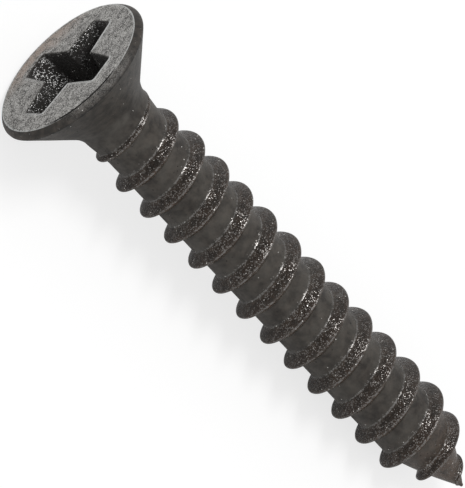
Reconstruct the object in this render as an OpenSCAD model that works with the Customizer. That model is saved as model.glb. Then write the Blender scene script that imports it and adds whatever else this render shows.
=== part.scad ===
// Sheet metal screw: flat countersunk head with a cross recess, coarse spaced thread, gimlet point.
// The screw is drawn along its own axis, head face at zero and point at +Z, then laid down at rest.

/* [Head] */
// Largest diameter of the head
head_d = 10.55; // [9.9:0.05:11.1]
// Full angle of the countersunk cone
head_angle = 83; // [78:1:92]
// How far the bevel round the face comes in from the rim
edge_w = 0.3; // [0.1:0.05:0.4]
// How deep the bevel round the face goes
edge_h = 0.4; // [0.1:0.05:0.5]
// Roundness of the bevel, where 1 is straight
edge_bow = 1.6; // [1:0.1:2]
// Height of the straight band round the rim
rim_h = 0.1; // [0.05:0.05:0.4]
// Radius of the fillet from the cone into the neck
neck_fillet = 2.4; // [1.5:0.1:2.8]

/* [Recess] */
// Distance across the wings at the face
recess_d = 7.15; // [6.4:0.05:7.3]
// Depth of the wings below the face
recess_depth = 3.3; // [2.4:0.1:3.5]
// Slope of the wing ends from the axis
recess_slope = 26.5; // [20:0.5:28]
// Width of a wing at its outer end
wing_tip_w = 1.75; // [1.4:0.05:2]
// Width of a wing where it meets its neighbours
wing_root_w = 2.35; // [2:0.05:2.5]
// Radius of the corners at the wing ends
wing_round = 0.2; // [0.1:0.05:0.4]
// Radius of the corners where two wings meet
wing_inner_round = 0.15; // [0.05:0.05:0.3]
// Full angle of the cone at the bottom of the recess
recess_bottom_angle = 140; // [120:5:160]

/* [Thread] */
// Length from the head face to the point
screw_len = 38.25; // [25:0.05:51]
// Distance from one thread to the next
pitch = 2.309; // [1.8:0.001:2.85]
// Diameter over the thread crests
thread_d = 5.8; // [5.3:0.05:5.9]
// Diameter of the root between the threads
core_d = 4.25; // [3.9:0.05:4.4]
// Diameter of the neck under the head
neck_d = 4.65; // [4.45:0.05:4.8]
// Length over which the neck narrows to the root
neck_taper = 1.8; // [0.5:0.1:3]
// Angle of each thread flank from square to the axis
flank_angle = 30; // [25:1:35]
// Width of the rounded crest
crest_w = 0.1; // [0.06:0.02:0.2]
// Axial length over which the thread grows to full height below the head
run_in = 3.7; // [2:0.1:5]
// Turn of the thread about the axis, from a wing of the recess
thread_turn = 298; // [0:1:359]

/* [Point] */
// Length of the tapered point
point_len = 5.2; // [4:0.1:7]
// Radius left at the very tip
tip_r = 0.12; // [0.08:0.02:0.3]
// Roundness of the taper of the core, where 1 is a straight cone
core_bow = 1.35; // [1.1:0.05:1.6]
// Roundness of the taper of the thread crests
crest_bow = 1.5; // [1.4:0.05:1.9]

/* [Resting pose] */
// Turn of the screw about its own axis as it lies
rest_roll = 280; // [0:1:359]

/* [Hidden] */

overlap = 0.2;
fillet_steps = 8;
edge_steps = 4;
thread_segments = 36;
crest_side = 0.93;
run_in_bow = 0.75;
tip_cut = 0.15;
neck_cover = 0.06;
neck_overlap = 0.3;

head_r = head_d / 2;
cone_half = head_angle / 2;
rim_z = edge_h + rim_h;
neck_r = neck_d / 2;
core_r = core_d / 2;
thread_r = thread_d / 2;

// The fillet ends a little inside the threaded shank, which covers its end.
fillet_r = neck_r - neck_cover;
fillet_center_r = fillet_r + neck_fillet;
fillet_center_z = rim_z + (neck_fillet - (fillet_center_r - head_r) * cos(cone_half)) / sin(cone_half);
neck_end_z = fillet_center_z - neck_overlap;

tip_z = screw_len - tip_cut;
point_z = screw_len - point_len;

// Limits a value to the range from zero to one.
function share(v) = min(1, max(0, v));

// Radius of a tapering body that is r wide above the point.
function taper(r, bow, z) = tip_r + (r - tip_r) * (1 - pow(share((z - point_z) / (tip_z - point_z)), bow));

// Radius of the core, a little wider at the neck.
function core_at(z) = taper(neck_r + (core_r - neck_r) * share((z - neck_end_z) / neck_taper), core_bow, z);

// Height of the thread above the core, growing below the neck and dying out at the tip.
function ridge_at(z) =
    (taper(thread_r, crest_bow, z) - taper(core_r, core_bow, z)) * pow(share((z - neck_end_z) / run_in), run_in_bow);

// Section of one thread as [distance along the axis, height above the core].
function ridge_section(h) =
    let (half_crest = crest_w / 2, half_root = 1.2 * half_crest + h * tan(flank_angle))
    [[-half_root, 0], [-half_crest, crest_side * h], [0, h], [half_crest, crest_side * h], [half_root, 0]];

// Point of the thread at one step of the helix and one place in its section.
function thread_point(step, place) =
    let (
        z = step * pitch / thread_segments,
        p = ridge_section(ridge_at(z))[place],
        r = core_at(z + p[0]) + p[1],
        a = thread_turn + step * 360 / thread_segments
    )
    [r * cos(a), r * sin(a), z + p[0]];

// Threaded shank as one closed skin that follows the helix, ending inside the head and at the tip.
module shank() {
    first = thread_segments;
    last = floor(tip_z / pitch * thread_segments);
    places = len(ridge_section(1));
    top = (last - first + 1) * places;
    tip = top + 1;
    function id(step, place) = (step - first) * places + place;
    points = [
        for (step = [first:last]) for (place = [0:places - 1]) thread_point(step, place),
        [0, 0, (first - thread_segments / 2) * pitch / thread_segments],
        [0, 0, screw_len]
    ];
    ridge = [
        for (step = [first:last - 1]) for (place = [0:places - 2]) each [
            [id(step, place), id(step + 1, place + 1), id(step + 1, place)],
            [id(step, place), id(step, place + 1), id(step + 1, place + 1)]
        ]
    ];
    root = [
        for (step = [first:last - thread_segments - 1]) each [
            [id(step, places - 1), id(step + 1 + thread_segments, 0), id(step + 1, places - 1)],
            [id(step, places - 1), id(step + thread_segments, 0), id(step + 1 + thread_segments, 0)]
        ]
    ];
    head_end = [
        for (step = [first:first + thread_segments - 1]) [top, id(step, 0), id(step + 1, 0)],
        for (place = [0:places - 2]) [top, id(first, place + 1), id(first, place)],
        [top, id(first + thread_segments, 0), id(first, places - 1)]
    ];
    point_end = [
        for (step = [last - thread_segments:last - 1]) [tip, id(step + 1, places - 1), id(step, places - 1)],
        for (place = [0:places - 2]) [tip, id(last, place), id(last, place + 1)],
        [tip, id(last - thread_segments, places - 1), id(last, 0)]
    ];
    polyhedron(points, concat(ridge, root, head_end, point_end), convexity = 20);
}

// Bowed bevel from the crisp edge of the face to the rim.
face_edge = [
    for (i = [0:edge_steps])
        let (part = i / edge_steps)
        [head_r - edge_w * pow(1 - part, edge_bow), edge_h * part]
];

// Countersunk head, turned about the axis, with its bevel and the fillet into the neck.
module head() {
    fillet = [
        for (i = [0:fillet_steps])
            let (a = cone_half * (1 - i / fillet_steps))
            [fillet_center_r - neck_fillet * cos(a), fillet_center_z - neck_fillet * sin(a)]
    ];
    rotate_extrude($fn = 90)
        polygon(concat([[0, 0]], face_edge, [[head_r, rim_z]], fillet, [[0, fillet_center_z + fillet_r]]));
}

// Size of the recess at a depth below the face, as a share of its size at the face.
function recess_share(z) = 1 - 2 * z * tan(recess_slope) / recess_d;

// Outline of the recess at the face.
module recess_cross() {
    tip_x = recess_d / 2;
    half_tip = wing_tip_w / 2;
    half_root = wing_root_w / 2;
    offset(r = -wing_inner_round, $fn = 16)
        offset(r = wing_inner_round + wing_round, $fn = 16)
            offset(delta = -wing_round)
                for (a = [0:90:270])
                    rotate(a)
                        polygon([[0, 0], [half_root, -half_root], [tip_x, -half_tip], [tip_x, half_tip],
                            [half_root, half_root]]);
}

// Space of the cross recess, with sloping wings and a shallow cone at the bottom.
module recess() {
    bottom_r = wing_root_w / 2 * recess_share(recess_depth);
    translate([0, 0, -overlap])
        linear_extrude(recess_depth + overlap, scale = recess_share(recess_depth) / recess_share(-overlap))
            scale(recess_share(-overlap))
                recess_cross();
    translate([0, 0, recess_depth - overlap])
        cylinder(overlap, r = bottom_r, $fn = 48);
    translate([0, 0, recess_depth])
        cylinder(bottom_r / tan(recess_bottom_angle / 2), r1 = bottom_r, r2 = 0, $fn = 48);
}

// The screw rests on the rim of its head and on one thread crest near the point.
bottom_angle = 90 - rest_roll;
first_crest_z = pitch * (bottom_angle - thread_turn) / 360;
rest_tilt = min([
    for (turn = [0:ceil(screw_len / pitch) + 2])
        let (z = first_crest_z + turn * pitch)
        if (z > neck_end_z && z < tip_z) atan((head_r - core_at(z) - ridge_at(z)) / (z - rim_z))
]);
rest_z = head_r * cos(rest_tilt) + rim_z * sin(rest_tilt);
front_y = min([for (p = face_edge) p[1] * cos(rest_tilt) - p[0] * sin(rest_tilt)]);
back_y = screw_len * cos(rest_tilt);

module screw() {
    color("dimgray")
        translate([0, -(front_y + back_y) / 2, rest_z])
            rotate([-90 - rest_tilt, 0, 0])
                rotate([0, 0, rest_roll])
                    difference() {
                        union() {
                            head();
                            shank();
                        }
                        recess();
                    }
}

screw();
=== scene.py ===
import math

import bpy
import numpy as np
from mathutils import Matrix, Vector, noise


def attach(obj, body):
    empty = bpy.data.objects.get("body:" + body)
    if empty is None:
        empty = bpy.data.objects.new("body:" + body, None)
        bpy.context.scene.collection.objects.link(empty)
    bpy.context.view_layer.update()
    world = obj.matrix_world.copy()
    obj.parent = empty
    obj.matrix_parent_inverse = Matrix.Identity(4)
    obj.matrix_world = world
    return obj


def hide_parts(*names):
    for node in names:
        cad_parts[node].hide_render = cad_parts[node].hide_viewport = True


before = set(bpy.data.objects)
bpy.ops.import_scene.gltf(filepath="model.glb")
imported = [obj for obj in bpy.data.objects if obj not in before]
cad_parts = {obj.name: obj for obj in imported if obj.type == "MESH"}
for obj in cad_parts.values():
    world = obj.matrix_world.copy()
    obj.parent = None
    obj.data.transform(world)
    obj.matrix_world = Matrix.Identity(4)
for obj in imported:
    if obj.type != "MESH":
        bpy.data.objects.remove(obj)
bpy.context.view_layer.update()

mm = 0.001  # the sizes below are in millimetres

# The screw is worked out along its own axis: face of the head at 0, point at +Z.
headSizes = {
    "diameter": 10.548,
    "coneHalfAngle": 41.5,
    "edgeWidth": 0.3,  # bowed bevel between the face and the rim
    "edgeHeight": 0.4,
    "edgeBow": 1.6,
    "crispEdge": 0.05,
    "rimHeight": 0.1,
    "filletRadius": 2.4,
    "filletCenter": (4.665, 4.81146),  # radius, height
    "filletStart": 3.22118,
    "neckBlend": 0.03,
    "grooveRadius": 4.855,  # fine line pressed just inside the edge, on the side at grooveAt; the shade inside it is painted dark
    "grooveWidth": 0.09,
    "grooveDepth": 0.06,
    "grooveAt": 30,
    "grooveSpread": 34,
    "wornShineAt": 14,  # where the rim has been rubbed lighter; the recess edge on this side also gets a painted highlight with the wear
    "rubbedSpread": 30,
    "faceRows": 7,
    "edgeRows": 8,
    "coneRows": 14,
    "neckRows": 16,
}

recessSizes = {
    "across": 7.15,
    "depth": 3.3,
    "wallSlope": 26.5,
    "tipWidth": 1.75,
    "rootWidth": 2.35,
    "outerCorner": 0.22,
    "innerCorner": 0.16,
    "edgeRound": 0.08,
    "floorRound": 0.15,
    "wornShineWidth": 0.18,
    "offCenter": (-0.1386, -0.0574),  # the punch struck a little to one side
    "bottomHalfAngle": 70,
    "wallRows": 12,
    "floorRows": 6,
}

threadSizes = {
    "length": 38.25,
    "pitch": 2.309,
    "crestRadius": 2.89,
    "coreRadius": 2.125,
    "neckRadius": 2.325,
    "neckEnd": 4.51146,
    "neckTaper": 1.8,
    "flankAngle": 30,
    "crestRound": 0.075,
    "rootRound": 0.1,
    "leastHalfWidth": 0.06,
    "runIn": 3.7,
    "runInBow": 0.75,
    "turn": 298,  # degrees about the axis, from a wing of the recess
    "stepsPerTurn": 144,
    "rootRows": 3,
    "endRows": 12,
}

pointSizes = {
    "length": 5.2,
    "tipRadius": 0.12,
    "tipCut": 0.15,
    "coreBow": 1.35,
    "crestBow": 1.5,
    "lean": (-0.0574, 0.1386),  # the tip ends a little off the axis
    "leanFrom": 34.6,
}

handlingMarks = {
    "crestWander": 0.018,  # how far the crest wanders in and out
    "crestWanderScale": 1.9,
    "skinWander": 0.006,  # small unevenness of every surface
    "skinWanderScale": 1.1,
}

restingPose = {
    "roll": 280,
    "tilt": 4.35763,
    "lift": 5.29774,
    "along": -18.8807,
}

camera = {
    "place": (0.38864171, -0.31325421, 0.6395435),
    "turn": (10.66286, -36.72841, 123.92285),
    "lens": 1001.295,
}


coatLook = {
    "dark": (0.028, 0.0245, 0.0215),
    "pale": (0.072, 0.066, 0.058),
    "sootAndShadeBlack": (0.010, 0.0098, 0.0095),
    "faceDark": (0.030, 0.028, 0.026),
    "faceSheenPale": (0.48, 0.47, 0.45),
    "faceWarm": (0.34, 0.25, 0.20),
    "wornShinePale": (0.55, 0.56, 0.55),
    "brown": (0.096, 0.057, 0.037),
    "dust": (0.122, 0.104, 0.088),
    "steel": (0.16, 0.151, 0.143),
    "crestSteel": (0.14, 0.135, 0.13),
    "recessSteel": (0.20, 0.197, 0.194),
    "glintSpeck": (0.90, 0.88, 0.84),
    "roughness": 0.52,
    "gritRoughness": 0.15,
    "recessRoughness": 0.65,  # added to the coat in the recess

    "steelRoughness": 0.26,
    "ior": 1.3,
    "grainPerMm": 9.0,
    "faceGrainPerMm": 16.0,
    "clusterPerMm": 2.4,
    "mottlePerMm": 0.9,
    "fleckPerMm": 11.5,
    "fleckTilt": 1.4,
    "gritLean": 23,  # degrees towards the head
    "gritPull": 4.0,
    "speckPerMm": 9.0,
    "pitPerMm": 3.0,
    "grainDepth": 0.09,  # millimetres
    "mottleDepth": 0.03,
}

# share of the surface that is bare steel flecks, by the part of the screw
fleckShare = {
    "crest": 0.5,
    "foot": 0.45,
    "headFlank": 0.4,
    "tipFlank": 0.08,
    "recess": 0.6,
    "rubbed": 0.25,
    "point": 0.12,
    "rim": 0.03,
}


def share(value):
    return np.clip(value, 0.0, 1.0)


def taper(radius, bow, z):
    start = threadSizes["length"] - pointSizes["length"]
    end = threadSizes["length"] - pointSizes["tipCut"]
    tip = pointSizes["tipRadius"]
    return tip + (radius - tip) * (1 - share((z - start) / (end - start)) ** bow)


# Radius of the shank without its thread, with the fillet under the head and the rounded tip
def bodyRadius(z):
    z = np.asarray(z, float)
    t = threadSizes
    narrow = t["neckRadius"] + (t["coreRadius"] - t["neckRadius"]) * share((z - t["neckEnd"]) / t["neckTaper"])
    body = taper(narrow, pointSizes["coreBow"], z)
    centerR, centerZ = headSizes["filletCenter"]
    rise = np.clip((centerZ - z) / headSizes["filletRadius"], 0, 0.999)
    fillet = centerR - headSizes["filletRadius"] * np.sqrt(1 - rise ** 2) - 0.4 * np.maximum(z - centerZ, 0)
    blend = headSizes["neckBlend"]
    body = 0.5 * (body + fillet + np.sqrt((body - fillet) ** 2 + blend ** 2))
    tipStart = t["length"] - pointSizes["tipCut"]
    closing = np.sqrt(np.clip(1 - ((z - tipStart) / pointSizes["tipCut"]) ** 2, 0, 1))
    return np.where(z > tipStart, pointSizes["tipRadius"] * closing, body)


# How far the axis has moved aside at the leaning tip
def leanAt(z):
    part = float(share((z - pointSizes["leanFrom"]) / (threadSizes["length"] - pointSizes["leanFrom"]))) ** 1.3
    return [part * v for v in pointSizes["lean"]]


def ridgeHeight(z):
    t = threadSizes
    full = taper(t["crestRadius"], pointSizes["crestBow"], z) - taper(t["coreRadius"], pointSizes["coreBow"], z)
    return np.maximum(full, 0) * share((z - t["neckEnd"]) / t["runIn"]) ** t["runInBow"]


# Section of the thread: places along the axis, heights over the core and what part each place belongs to
def ridgeSection(height):
    t = threadSizes
    flank = math.radians(t["flankAngle"])
    crest = min(t["crestRound"], 0.55 * height)
    root = min(t["rootRound"], 0.3 * height)
    foot = crest * math.cos(flank) + (height - crest * (1 - math.sin(flank))) * math.tan(flank)
    away = root * math.tan(math.radians((90 - t["flankAngle"]) / 2))
    side = [(0.0, height, 1.0)]
    for angle in (20, 40, 60):
        a = math.radians(angle)
        side.append((crest * math.sin(a), height - crest * (1 - math.cos(a)), 1 - angle / 75))
    crestEnd = side[-1]
    footStart = (foot - away * math.sin(flank), away * math.cos(flank))
    for step in (0.33, 0.67):
        side.append((crestEnd[0] + (footStart[0] - crestEnd[0]) * step,
                     crestEnd[1] + (footStart[1] - crestEnd[1]) * step, 0.0))
    for angle in (60, 40, 20, 0):
        a = math.radians(angle)
        side.append((foot + away - root * math.sin(a), root * (1 - math.cos(a)), -0.3 if angle in (60, 0) else -1.0))
    count = len(side) - 1
    wide = [(x + t["leastHalfWidth"] * k / count, max(y, 0.0), mark) for k, (x, y, mark) in enumerate(side)]
    return [(-x, y, mark) for x, y, mark in reversed(wide[1:])] + wide


class Skin:
    # Collects the points, faces and marks of one closed surface
    def __init__(self):
        self.points = []
        self.marks = []
        self.faces = []

    def point(self, x, y, z, **marks):
        self.points.append((x, y, z))
        self.marks.append(marks)
        return len(self.points) - 1

    def ring(self, spots, **marks):
        return [self.point(*spot, **marks) for spot in spots]

    def joinRings(self, inner, outer):
        count = len(inner)
        for i in range(count):
            j = (i + 1) % count
            self.faces.append((inner[i], inner[j], outer[j], outer[i]))

    def joinColumns(self, left, right):
        for k in range(len(left) - 1):
            corners = [left[k], right[k], right[k + 1], left[k + 1]]
            kept = [c for n, c in enumerate(corners) if c not in corners[:n]]
            if len(kept) > 2:
                self.faces.append(tuple(kept))

    # Fills between two columns whose points don't match, going up by height
    def zipColumns(self, left, right):
        j = k = 0
        height = lambda n: self.points[n][2]
        while j < len(left) - 1 or k < len(right) - 1:
            rightNext = k < len(right) - 1 and (j == len(left) - 1 or height(right[k + 1]) <= height(left[j + 1]))
            if rightNext:
                triangle = (left[j], right[k], right[k + 1])
                k += 1
            else:
                triangle = (left[j], right[k], left[j + 1])
                j += 1
            if len(set(triangle)) == 3:
                self.faces.append(triangle)


def stepAngle(step):
    return math.radians(threadSizes["turn"] + step * 360 / threadSizes["stepsPerTurn"])


# Points round a corner of an outline, on an arc that touches both sides
def roundedCorner(before, corner, after, radius, count):
    corner, toBefore, toAfter = Vector(corner), Vector(before) - Vector(corner), Vector(after) - Vector(corner)
    toBefore.normalize()
    toAfter.normalize()
    half = toBefore.angle(toAfter) / 2
    start = corner + toBefore * (radius / math.tan(half))
    center = corner + (toBefore + toAfter).normalized() * (radius / math.sin(half))
    arm = start - center
    sweep = math.pi - 2 * half
    if toBefore.x * toAfter.y - toBefore.y * toAfter.x > 0:
        sweep = -sweep
    spots = []
    for k in range(count):
        a = sweep * k / (count - 1)
        spots.append(center + Vector((arm.x * math.cos(a) - arm.y * math.sin(a),
                                      arm.x * math.sin(a) + arm.y * math.cos(a))))
    return spots


# Outline of the cross recess at the face, as many points as a turn of the thread has steps
def recessOutline():
    s = recessSizes
    reach, tip, root = s["across"] / 2, s["tipWidth"] / 2, s["rootWidth"] / 2
    spots = []
    for wing in range(4):
        inner = roundedCorner((tip, -reach), (root, -root), (reach, -tip), s["innerCorner"], 6)
        lower = roundedCorner((root, -root), (reach, -tip), (reach, tip), s["outerCorner"], 6)
        upper = roundedCorner((reach, -tip), (reach, tip), (root, root), s["outerCorner"], 6)
        nextInner = roundedCorner((reach, tip), (root, root), (tip, reach), s["innerCorner"], 6)
        side = [inner[-1].lerp(lower[0], k / 6) for k in range(1, 6)]
        end = [lower[-1].lerp(upper[0], k / 9) for k in range(1, 9)]
        back = [upper[-1].lerp(nextInner[0], k / 6) for k in range(1, 6)]
        turned = Matrix.Rotation(math.radians(90 * wing), 2)
        spots += [turned @ spot for spot in inner + side + lower + end + upper + back]
    return spots


def outlineNormals(spots):
    count = len(spots)
    normals = []
    for i in range(count):
        along = (spots[(i + 1) % count] - spots[i]).normalized() + (spots[i] - spots[i - 1]).normalized()
        along.normalize()
        normals.append(Vector((along.y, -along.x)))
    return normals


def buildHead(skin, firstStep):
    s, r = headSizes, recessSizes
    steps = threadSizes["stepsPerTurn"]
    angles = [stepAngle(firstStep + i) for i in range(steps)]
    outline = recessOutline()
    normals = outlineNormals(outline)
    offX, offY = r["offCenter"]
    # turn the outline's list so that its points face the columns of the thread
    firstAngle = math.degrees(math.atan2(outline[0].y, outline[0].x))
    shift = round((firstAngle - math.degrees(angles[0])) / (360 / steps)) % steps
    outline = [outline[(i - shift) % steps] for i in range(steps)]
    normals = [normals[(i - shift) % steps] for i in range(steps)]

    wornShineWay = Vector((math.cos(math.radians(s["wornShineAt"])), math.sin(math.radians(s["wornShineAt"]))))

    # falls from 1 at the middle angle to 0 beyond the spread
    def nearAngle(a, middle, spread):
        off = (math.degrees(a) - middle + 180) % 360 - 180
        return math.exp(-(off / spread) ** 4)

    def scaled(z):
        return 1 - 2 * z * math.tan(math.radians(r["wallSlope"])) / r["across"]

    def wallRing(z, scale, out, **marks):
        return skin.ring([(offX + p.x * scale + n.x * out, offY + p.y * scale + n.y * out, z)
                          for p, n in zip(outline, normals)], **marks)

    rings = []
    # floor of the recess, from the middle out
    bottomScale = scaled(r["depth"])
    bottomR = r["rootWidth"] / 2 * bottomScale
    coneDepth = bottomR / math.tan(math.radians(r["bottomHalfAngle"]))
    middle = skin.point(offX, offY, r["depth"] + coneDepth, recess=1.0)
    for k in range(1, r["floorRows"] + 1):
        part = k / r["floorRows"] * 0.93
        spots = []
        for p in outline:
            x, y = p.x * bottomScale * part, p.y * bottomScale * part
            spots.append((offX + x, offY + y, r["depth"] + coneDepth * max(0.0, 1 - math.hypot(x, y) / bottomR)))
        rings.append(skin.ring(spots, recess=1.0))
    # walls, from the floor up to the rounded edge
    for angle in (30, 60):
        a = math.radians(angle)
        z = r["depth"] - r["floorRound"] * (1 - math.cos(a))
        rings.append(wallRing(z, scaled(z), -r["floorRound"] * (1 - math.sin(a)) * 0.5, recess=1.0))
    for k in range(r["wallRows"]):
        z = r["depth"] - r["floorRound"] - (r["depth"] - r["floorRound"] - r["edgeRound"]) * k / (r["wallRows"] - 1)
        rings.append(wallRing(z, scaled(z), 0, recess=1.0))
    for angle, mark, beyond in ((25, 0.5, 0.0), (50, 1.0, 0.0), (75, 1.0, 0.0), (90, 1.0, 0.0), (90, 1.0, 0.5),
                                (90, 0.0, 1.0)):
        a = math.radians(angle)
        rings.append(wallRing(r["edgeRound"] * (1 - math.sin(a)), 1.0,
                              r["edgeRound"] * (1 - math.cos(a)) + r["wornShineWidth"] * beyond,
                              recess=1 - angle / 90, face=share(angle / 45 - 1)))
        # painted highlight and wear: the edge on one side is painted lighter, partly rubbed by the driver and partly
        # the light that its rounding catches
        for point, normal in zip(rings[-1], normals):
            skin.marks[point]["edge"] = mark * max(0.0, normal.dot(wornShineWay)) ** 0.7
    # flat face, out to the fine line inside the edge
    headR = s["diameter"] / 2
    flatR = s["grooveRadius"] - s["grooveWidth"] / 2
    for k in range(1, s["faceRows"] + 1):
        part = (k / s["faceRows"]) ** 0.85
        rings.append([])
        for p, n, a in zip(outline, normals, angles):
            lip = r["edgeRound"] + r["wornShineWidth"]
            x = (offX + p.x + n.x * lip) * (1 - part) + flatR * math.cos(a) * part
            y = (offY + p.y + n.y * lip) * (1 - part) + flatR * math.sin(a) * part
            farSide = -(x * wornShineWay.x + y * wornShineWay.y)
            rings[-1].append(skin.point(x, y, 0.0, face=1.0, stained=float(share((farSide - 2.9) / 1.6))))
    startR = headR - s["edgeWidth"]
    lastFlat = startR - s["crispEdge"]
    grooveFades = []
    for a in angles:
        broken = min(1.0, 1.2 + 0.7 * noise.noise(Vector((math.cos(a) * 9, math.sin(a) * 9, 4.1))))
        grooveFades.append(nearAngle(a, s["grooveAt"], s["grooveSpread"]) * broken)
    # the shade in the groove is painted dark, and the crisp edge beyond it gets a painted highlight with some wear
    for radius, deep, dark, shine in ((flatR + 0.1 * s["grooveWidth"], 0.1, 1.0, 0.0),
                                      (flatR + 0.8 * s["grooveWidth"], 1.0, 1.0, 0.0),
                                      (lastFlat, 0.5, 1.0, 0.7), (startR, 0.2, 0.6, 1.0)):
        rings.append([])
        for a, fade in zip(angles, grooveFades):
            rings[-1].append(skin.point(radius * math.cos(a), radius * math.sin(a), s["grooveDepth"] * deep * fade,
                                        face=1.0 if radius < startR else 0.5, groove=dark * fade,
                                        edge=shine * (1 - fade)))
    for k in range(1, s["edgeRows"] + 1):
        t = (k / s["edgeRows"]) ** 1.4
        radius = headR - s["edgeWidth"] * (1 - t) ** s["edgeBow"]
        rings.append([skin.point(radius * math.cos(a), radius * math.sin(a), s["edgeHeight"] * t, rim=1.0,
                                 rubbed=nearAngle(a, s["wornShineAt"], s["rubbedSpread"]) * (1 - 0.7 * t))
                      for a in angles])
    rimEnd = s["edgeHeight"] + s["rimHeight"]
    for k in range(s["coneRows"] + 1):
        z = rimEnd + (s["filletStart"] - rimEnd) * (k / s["coneRows"]) ** 1.3
        radius = headR - (z - rimEnd) * math.tan(math.radians(s["coneHalfAngle"]))
        if k < 2:
            radius -= 0.006 * (2 - k)
        rings.append(skin.ring([(radius * math.cos(a), radius * math.sin(a), z) for a in angles],
                               cone=1.0, rim=max(0.0, 1 - k)))
    for i in range(steps):
        skin.faces.append((middle, rings[0][(i + 1) % steps], rings[0][i])[::-1])
    for inner, outer in zip(rings, rings[1:]):
        skin.joinRings(inner, outer)
    return rings[-1]


def buildShank(skin, neckRing, firstStep):
    t = threadSizes
    steps = t["stepsPerTurn"]
    lastStep = int((t["length"] - pointSizes["tipCut"]) / t["pitch"] * steps)
    ringZ = headSizes["filletStart"]

    def onBody(z, a, lift=0.0, **marks):
        radius = float(bodyRadius(z)) + lift
        lean = leanAt(z)
        point = float(share((z - 32.0) / 3.5))
        return skin.point(radius * math.cos(a) + lean[0], radius * math.sin(a) + lean[1], z, point=point, **marks)

    ridge = {}
    for step in range(firstStep, lastStep + 1):
        a = stepAngle(step)
        z = step * t["pitch"] / steps
        height = float(ridgeHeight(z))
        wander = noise.noise(Vector((math.cos(a), math.sin(a), z * 0.9)) * handlingMarks["crestWanderScale"])
        lift = handlingMarks["crestWander"] * (wander - 0.4) * share(height / 0.4)
        chain = []
        for x, y, crest in ridgeSection(height):
            onRidge = y / height if height > 0.02 else 0.0
            shown = min(1.0, height / 0.15)
            flank = max(0.0, min(1.0, 1 - abs(crest))) * min(1.0, onRidge * 8)
            chain.append(onBody(z + x, a, y + float(lift) * onRidge ** 2, crest=max(crest, 0.0) * shown,
                                headFlank=flank * (x < 0) * shown, tipFlank=flank * (x > 0) * shown,
                                foot=max(-crest, 0.0) * (x < 0) * shown, root=1 - onRidge))
        ridge[step] = chain

    def band(fromId, toId, a, rows):
        low, high = skin.points[fromId][2], skin.points[toId][2]
        return [onBody(low + (high - low) * k / (rows + 1), a, root=1.0) for k in range(1, rows + 1)]

    root = {step: band(ridge[step][-1], ridge[step + steps][0], stepAngle(step), t["rootRows"])
            for step in range(firstStep, lastStep - steps + 1)}
    for step in range(firstStep, lastStep):
        skin.joinColumns(ridge[step], ridge[step + 1])
        if step + 1 in root:
            left = [ridge[step][-1]] + root[step] + [ridge[step + steps][0]]
            right = [ridge[step + 1][-1]] + root[step + 1] + [ridge[step + 1 + steps][0]]
            skin.joinColumns(left, right)

    # from the ring under the head's cone to the first turn of the thread
    neck = {}
    for i in range(steps):
        a = stepAngle(firstStep + i)
        high = skin.points[ridge[firstStep + i][0]][2]
        rows = headSizes["neckRows"]
        neck[i] = [neckRing[i]] + [onBody(ringZ + (high - ringZ) * k / rows, a, root=float(k / rows) ** 2)
                                   for k in range(1, rows)] + [ridge[firstStep + i][0]]
    for i in range(steps - 1):
        skin.joinColumns(neck[i], neck[i + 1])
    seam = neck[0] + ridge[firstStep][1:] + root[firstStep] + [ridge[firstStep + steps][0]]
    skin.zipColumns(neck[steps - 1] + [ridge[firstStep + steps][0]], seam)

    # from the last turn of the thread to the tip
    tip = skin.point(*pointSizes["lean"], t["length"], root=1.0, point=1.0)
    end = {}
    for step in range(lastStep - steps + 1, lastStep + 1):
        low = skin.points[ridge[step][-1]][2]
        end[step] = [ridge[step][-1]] + [
            onBody(low + (t["length"] - low) * (k / t["endRows"]) ** 0.7, stepAngle(step), root=1.0)
            for k in range(1, t["endRows"])] + [tip]
    for step in range(lastStep - steps + 1, lastStep):
        skin.joinColumns(end[step], end[step + 1])
    first = lastStep - steps
    seam = [ridge[first][-1]] + root[first] + ridge[lastStep] + end[lastStep][1:]
    skin.zipColumns(seam, end[first + 1])


def buildScrew():
    t = threadSizes
    skin = Skin()
    firstStep = int(t["neckEnd"] / t["pitch"] * t["stepsPerTurn"]) - 2
    neckRing = buildHead(skin, firstStep)
    buildShank(skin, neckRing, firstStep)
    pose = restingPose
    place = (Matrix.Translation((0, pose["along"] * mm, pose["lift"] * mm))
             @ Matrix.Rotation(math.radians(-90 - pose["tilt"]), 4, "X")
             @ Matrix.Rotation(math.radians(pose["roll"]), 4, "Z") @ Matrix.Scale(mm, 4))
    mesh = bpy.data.meshes.new("screw")
    mesh.from_pydata([place @ Vector(p) for p in skin.points], [], skin.faces)
    for name in ("crest", "headFlank", "tipFlank", "foot", "root", "point", "face", "groove", "edge", "rim", "rubbed",
                 "stained", "cone", "recess"):
        layer = mesh.attributes.new(name, "FLOAT", "POINT")
        layer.data.foreach_set("value", [float(m.get(name, 0.0)) for m in skin.marks])
    # rolled grit faces away from the axis and a little towards the head
    towardsHead = math.tan(math.radians(coatLook["gritLean"]))
    turned = place.to_3x3()
    ways = [(turned @ Vector((x, y, -towardsHead * max(math.hypot(x, y), 1e-6)))).normalized()
            for x, y, z in skin.points]
    layer = mesh.attributes.new("gritWay", "FLOAT_VECTOR", "POINT")
    layer.data.foreach_set("vector", np.array(ways).ravel())
    mesh.update()
    for polygon in mesh.polygons:
        polygon.use_smooth = True
    piece = bpy.data.objects.new("metalScrew", mesh)
    bpy.context.scene.collection.objects.link(piece)
    return piece


def roughenSkin(piece):
    marks = handlingMarks
    mesh = piece.data
    mesh.update()
    moved = []
    for vertex in mesh.vertices:
        spot = vertex.co / mm * marks["skinWanderScale"]
        moved.append(vertex.co + vertex.normal * marks["skinWander"] * mm * (noise.noise(spot) - 0.4))
    for vertex, spot in zip(mesh.vertices, moved):
        vertex.co = spot
    mesh.update()


screw = buildScrew()
roughenSkin(screw)
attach(screw, "root")
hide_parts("screw")
print("screw built:", len(screw.data.vertices), "points,", len(screw.data.polygons), "faces")


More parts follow.
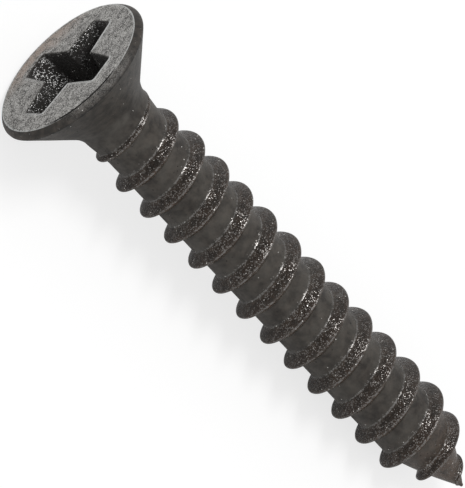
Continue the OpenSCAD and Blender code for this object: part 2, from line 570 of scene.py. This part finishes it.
# Small helper that adds a node, sets its inputs and links them
def addNode(tree, kind, inputs=None, **settings):
    node = tree.nodes.new(kind)
    for name, value in settings.items():
        setattr(node, name, value)
    for name, value in (inputs or {}).items():
        socket = node.inputs[name]
        if isinstance(value, bpy.types.NodeSocket):
            tree.links.new(value, socket)
        else:
            socket.default_value = value
    return node


def blendMath(tree, operation, first, second=0.0, clamp=False):
    return addNode(tree, "ShaderNodeMath", {0: first, 1: second}, operation=operation, use_clamp=clamp).outputs[0]


def ramp(tree, value, low, high, toLow=0.0, toHigh=1.0):
    node = addNode(tree, "ShaderNodeMapRange", {"Value": value, "From Min": low, "From Max": high,
                                                "To Min": toLow, "To Max": toHigh}, clamp=True)
    return node.outputs["Result"]


def mixColor(tree, amount, first, second):
    node = tree.nodes.new("ShaderNodeMix")
    node.data_type = "RGBA"
    for index, value in ((0, amount), (6, first), (7, second)):
        if isinstance(value, bpy.types.NodeSocket):
            tree.links.new(value, node.inputs[index])
        else:
            node.inputs[index].default_value = value if index == 0 else (*value, 1)
    return node.outputs[2]


def coatedSteel():
    look = coatLook
    material = bpy.data.materials.new("blackCoatedSteel")
    material.use_nodes = True
    tree = material.node_tree
    shader = tree.nodes["Principled BSDF"]

    def mark(name):
        return addNode(tree, "ShaderNodeAttribute", attribute_name=name).outputs["Fac"]

    def times(first, second):
        return blendMath(tree, "MULTIPLY", first, second)

    def plus(*values):
        total = values[0]
        for value in values[1:]:
            total = blendMath(tree, "ADD", total, value, clamp=True)
        return total

    def noiseOf(perMm, detail=3.0):
        return addNode(tree, "ShaderNodeTexNoise", {"Vector": place, "Scale": perMm, "Detail": detail,
                                                    "Roughness": 0.6}).outputs[0]

    place = addNode(tree, "ShaderNodeTexCoord").outputs["Object"]
    place = addNode(tree, "ShaderNodeVectorMath", {0: place, "Scale": 1 / mm}, operation="SCALE").outputs[0]
    grain = noiseOf(look["grainPerMm"])
    faceGrain = noiseOf(look["faceGrainPerMm"], 5.0)
    cluster = noiseOf(look["clusterPerMm"])
    mottle = noiseOf(look["mottlePerMm"])
    flecks = addNode(tree, "ShaderNodeTexVoronoi", {"Vector": place, "Scale": look["fleckPerMm"]})
    fleckPick = addNode(tree, "ShaderNodeSeparateColor", {0: flecks.outputs["Color"]}).outputs[2]
    specks = addNode(tree, "ShaderNodeTexVoronoi", {"Vector": place, "Scale": look["speckPerMm"]})
    speckPick = addNode(tree, "ShaderNodeSeparateColor", {0: specks.outputs["Color"]}).outputs[0]
    pits = addNode(tree, "ShaderNodeTexVoronoi", {"Vector": place, "Scale": look["pitPerMm"]})
    pitPick = addNode(tree, "ShaderNodeSeparateColor", {0: pits.outputs["Color"]}).outputs[1]
    part = {name: mark(name) for name in ("crest", "headFlank", "tipFlank", "foot", "face", "rim", "rubbed",
                                          "recess", "edge", "point", "groove", "stained", "cone", "root")}

    # how gritty each part is: the head side of the thread most, the root and the cone hardly at all
    grit = plus(part["headFlank"], part["crest"], part["foot"], times(part["tipFlank"], 0.35), part["recess"],
                times(part["rubbed"], 0.6), times(part["point"], 0.4), 0.06)

    # flecks of bare steel, each a small facet with its own tilt
    density = plus(0.004, *[times(part[name], amount) for name, amount in fleckShare.items()])
    density = times(density, ramp(tree, cluster, 0.38, 0.62, 0.35, 1.5))
    fleck = blendMath(tree, "LESS_THAN", fleckPick, density)
    fleck = times(fleck, ramp(tree, flecks.outputs["Distance"], 0.42, 0.5, 1, 0))
    # the crests and the head side of each root shine in dashes
    lines = plus(part["crest"], part["foot"])
    dash = times(ramp(tree, lines, 0.35, 0.6), ramp(tree, grain, 0.46, 0.51))
    fleck = blendMath(tree, "MAXIMUM", fleck, times(dash, ramp(tree, cluster, 0.42, 0.47)))

    # a few bright specks as painted glints, most of them on the gritty parts, and a few dark pits as painted shade
    speckLimit = ramp(tree, times(grit, ramp(tree, cluster, 0.4, 0.6, 0.2, 1.0)), 0.05, 1, 0.998, 0.95)
    speckOn = blendMath(tree, "GREATER_THAN", speckPick, speckLimit)
    glintSpeck = times(speckOn, ramp(tree, specks.outputs["Distance"], 0.2, 0.36, 1, 0))
    # painted shade: pits are drawn only as dark spots
    pitOn = blendMath(tree, "GREATER_THAN", pitPick, 0.88)
    pitShade = times(pitOn, ramp(tree, pits.outputs["Distance"], 0.08, 0.22, 0.8, 0))

    color = mixColor(tree, ramp(tree, mottle, 0.35, 0.65), look["dark"], look["pale"])
    brownness = plus(times(part["tipFlank"], 0.8), times(part["headFlank"], 0.8), times(part["point"], 0.7),
                     times(part["crest"], 0.6), times(part["rim"], 0.2))
    color = mixColor(tree, times(brownness, ramp(tree, cluster, 0.38, 0.62, 0.3, 0.9)), color, look["brown"])
    # painted shade: the head side of the thread, the recess, the rim and the cone are darkened towards black, partly
    # the coat's own black and partly painted shade
    sootAndShade = plus(times(part["headFlank"], 0.6), times(part["recess"], 0.75), times(part["rim"], 0.65),
                 times(part["cone"], 0.45))
    color = mixColor(tree, sootAndShade, color, look["sootAndShadeBlack"])
    color = mixColor(tree, times(plus(part["cone"], part["rim"], part["root"]), ramp(tree, cluster, 0.4, 0.66, 0, 0.3)),
                     color, look["dust"])
    # painted sheen: the face's pale grains make it light in place of its reflection; the dark grains are the coat
    faceTone = plus(times(faceGrain, 0.75), times(cluster, 0.25))
    faceSheenColor = mixColor(tree, ramp(tree, faceTone, 0.44, 0.56), look["faceDark"], look["faceSheenPale"])
    faceSheenColor = mixColor(tree, times(part["stained"], ramp(tree, cluster, 0.35, 0.6, 0.2, 0.7)), faceSheenColor,
                         look["faceWarm"])
    # the face, and a little of the rubbed rim, take this colour with its painted sheen
    color = mixColor(tree, plus(part["face"], times(part["rubbed"], 0.35)), color, faceSheenColor)
    # painted highlight and wear: the marked edges are painted pale, partly worn coat and partly the light the edges
    # catch
    wornShine = times(part["edge"], ramp(tree, grain, 0.36, 0.50, 0.2, 0.9))
    color = mixColor(tree, wornShine, color, look["wornShinePale"])
    # painted shade: the groove and the pits are painted near black
    color = mixColor(tree, plus(ramp(tree, part["groove"], 0.3, 0.7), pitShade), color, look["sootAndShadeBlack"])
    steel = mixColor(tree, lines, look["steel"], look["crestSteel"])
    color = mixColor(tree, fleck, color, mixColor(tree, part["recess"], steel, look["recessSteel"]))
    color = mixColor(tree, glintSpeck, color, look["glintSpeck"])

    rough = ramp(tree, grit, 0, 0.6, look["roughness"], look["gritRoughness"])
    rough = blendMath(tree, "ADD", rough, ramp(tree, grain, 0.3, 0.7, -0.05, 0.05))
    rough = plus(rough, times(pitShade, 0.4), times(part["groove"], 0.5), times(part["recess"], look["recessRoughness"]))
    rough = plus(times(rough, blendMath(tree, "SUBTRACT", 1.0, fleck)), times(fleck, look["steelRoughness"]))

    deep = addNode(tree, "ShaderNodeBump", {"Height": mottle, "Strength": 0.5,
                                            "Distance": look["mottleDepth"] * mm}).outputs[0]
    bumpy = plus(0.1, part["headFlank"], times(part["recess"], 0.3), times(lines, 0.12), times(part["tipFlank"], 0.4),
                 times(part["rubbed"], 0.5), times(part["point"], 0.4))
    fine = addNode(tree, "ShaderNodeBump", {"Height": grain, "Strength": bumpy,
                                            "Distance": look["grainDepth"] * mm, "Normal": deep}).outputs[0]
    tilt = addNode(tree, "ShaderNodeVectorMath", {0: flecks.outputs["Color"], 1: (0.5, 0.5, 0.5)},
                   operation="SUBTRACT").outputs[0]
    upright = blendMath(tree, "SUBTRACT", 1.0, plus(times(lines, 0.8), times(part["recess"], 0.85)), clamp=True)
    tilt = addNode(tree, "ShaderNodeVectorMath", {0: tilt, "Scale": times(times(fleck, upright), look["fleckTilt"])},
                   operation="SCALE").outputs[0]
    fine = addNode(tree, "ShaderNodeVectorMath", {0: fine, 1: tilt}, operation="ADD").outputs[0]
    pull = times(fleck, plus(part["headFlank"], lines, times(part["point"], 0.2)))
    way = addNode(tree, "ShaderNodeAttribute", attribute_name="gritWay").outputs["Vector"]
    way = addNode(tree, "ShaderNodeVectorMath", {0: way, "Scale": times(pull, look["gritPull"])},
                  operation="SCALE").outputs[0]
    fine = addNode(tree, "ShaderNodeVectorMath", {0: fine, 1: way}, operation="ADD").outputs[0]
    fine = addNode(tree, "ShaderNodeVectorMath", {0: fine}, operation="NORMALIZE").outputs[0]
    tree.links.new(fleck, shader.inputs["Metallic"])
    tree.links.new(color, shader.inputs["Base Color"])
    tree.links.new(rough, shader.inputs["Roughness"])
    tree.links.new(fine, shader.inputs["Normal"])
    shader.inputs["IOR"].default_value = look["ior"]
    return material


screw.data.materials.append(coatedSteel())
print("finish made")


studio = {
    "paper": 0.8,
    "paperSeen": 0.32,  # what the camera sees of the paper's own light and shade
    "glowSeen": 0.72,  # and how much plain white is added there
    "sky": 0.6,
}


# Share of rays that see the white background: the camera's ones, and the mirrored ones that pass the floor
def seenRays(tree, mirrored):
    path = addNode(tree, "ShaderNodeLightPath")
    if not mirrored:
        return path.outputs["Is Camera Ray"]
    return blendMath(tree, "ADD", path.outputs["Is Camera Ray"], path.outputs["Is Glossy Ray"], clamp=True)


def buildStudio():
    reach = 6.0
    floorMesh = bpy.data.meshes.new("floor")
    floorMesh.from_pydata([(-reach, -reach, 0), (reach, -reach, 0), (reach, reach, 0), (-reach, reach, 0)], [],
                          [(0, 1, 2, 3)])
    floor = bpy.data.objects.new("floor", floorMesh)
    bpy.context.scene.collection.objects.link(floor)
    paper = bpy.data.materials.new("whitePaper")
    paper.use_nodes = True
    tree = paper.node_tree
    tree.nodes.remove(tree.nodes["Principled BSDF"])
    plain = addNode(tree, "ShaderNodeBsdfDiffuse", {"Color": (*[studio["paper"]] * 3, 1)})
    shaded = addNode(tree, "ShaderNodeBsdfDiffuse", {"Color": (*[studio["paperSeen"]] * 3, 1)})
    glow = addNode(tree, "ShaderNodeEmission", {"Color": (1, 1, 1, 1), "Strength": studio["glowSeen"]})
    bright = addNode(tree, "ShaderNodeAddShader", {0: shaded.outputs[0], 1: glow.outputs[0]})
    mixed = addNode(tree, "ShaderNodeMixShader", {0: seenRays(tree, False), 1: plain.outputs[0], 2: bright.outputs[0]})
    tree.links.new(mixed.outputs[0], tree.nodes["Material Output"].inputs["Surface"])
    floor.data.materials.append(paper)

    world = bpy.data.worlds.new("studio")
    world.use_nodes = True
    tree = world.node_tree
    strength = ramp(tree, seenRays(tree, True), 0, 1, studio["sky"], 1.0)
    background = tree.nodes["Background"]
    background.inputs["Color"].default_value = (1, 1, 1, 1)
    tree.links.new(strength, background.inputs["Strength"])
    bpy.context.scene.world = world


# An oblong lamp whose long side lies as near to the X axis as its aim allows
def placeLamp(name, place, size, strength, aim=(0, 0, 0.005)):
    lamp = bpy.data.lights.new(name, "AREA")
    lamp.shape = "RECTANGLE"
    lamp.size, lamp.size_y = size
    lamp.energy = strength
    away = (Vector(place) - Vector(aim)).normalized()
    side = (Vector((1, 0, 0)) - away * away.x).normalized()
    piece = bpy.data.objects.new(name, lamp)
    piece.matrix_world = Matrix.Translation(place) @ Matrix((side, away.cross(side), away)).transposed().to_4x4()
    bpy.context.scene.collection.objects.link(piece)


def placeCamera():
    data = bpy.data.cameras.new("camera")
    data.lens = camera["lens"]
    piece = bpy.data.objects.new("camera", data)
    piece.location = camera["place"]
    piece.rotation_euler = [math.radians(v) for v in camera["turn"]]
    bpy.context.scene.collection.objects.link(piece)
    bpy.context.scene.camera = piece


buildStudio()
placeLamp("topBox", (-0.10, -0.17, 0.46), (0.16, 0.16), 0.35)
placeLamp("stripBox", (-0.0975, -0.1705, 0.46), (0.24, 0.025), 0.60)
placeCamera()
bpy.context.scene.view_settings.view_transform = "Standard"
print("studio and camera placed")
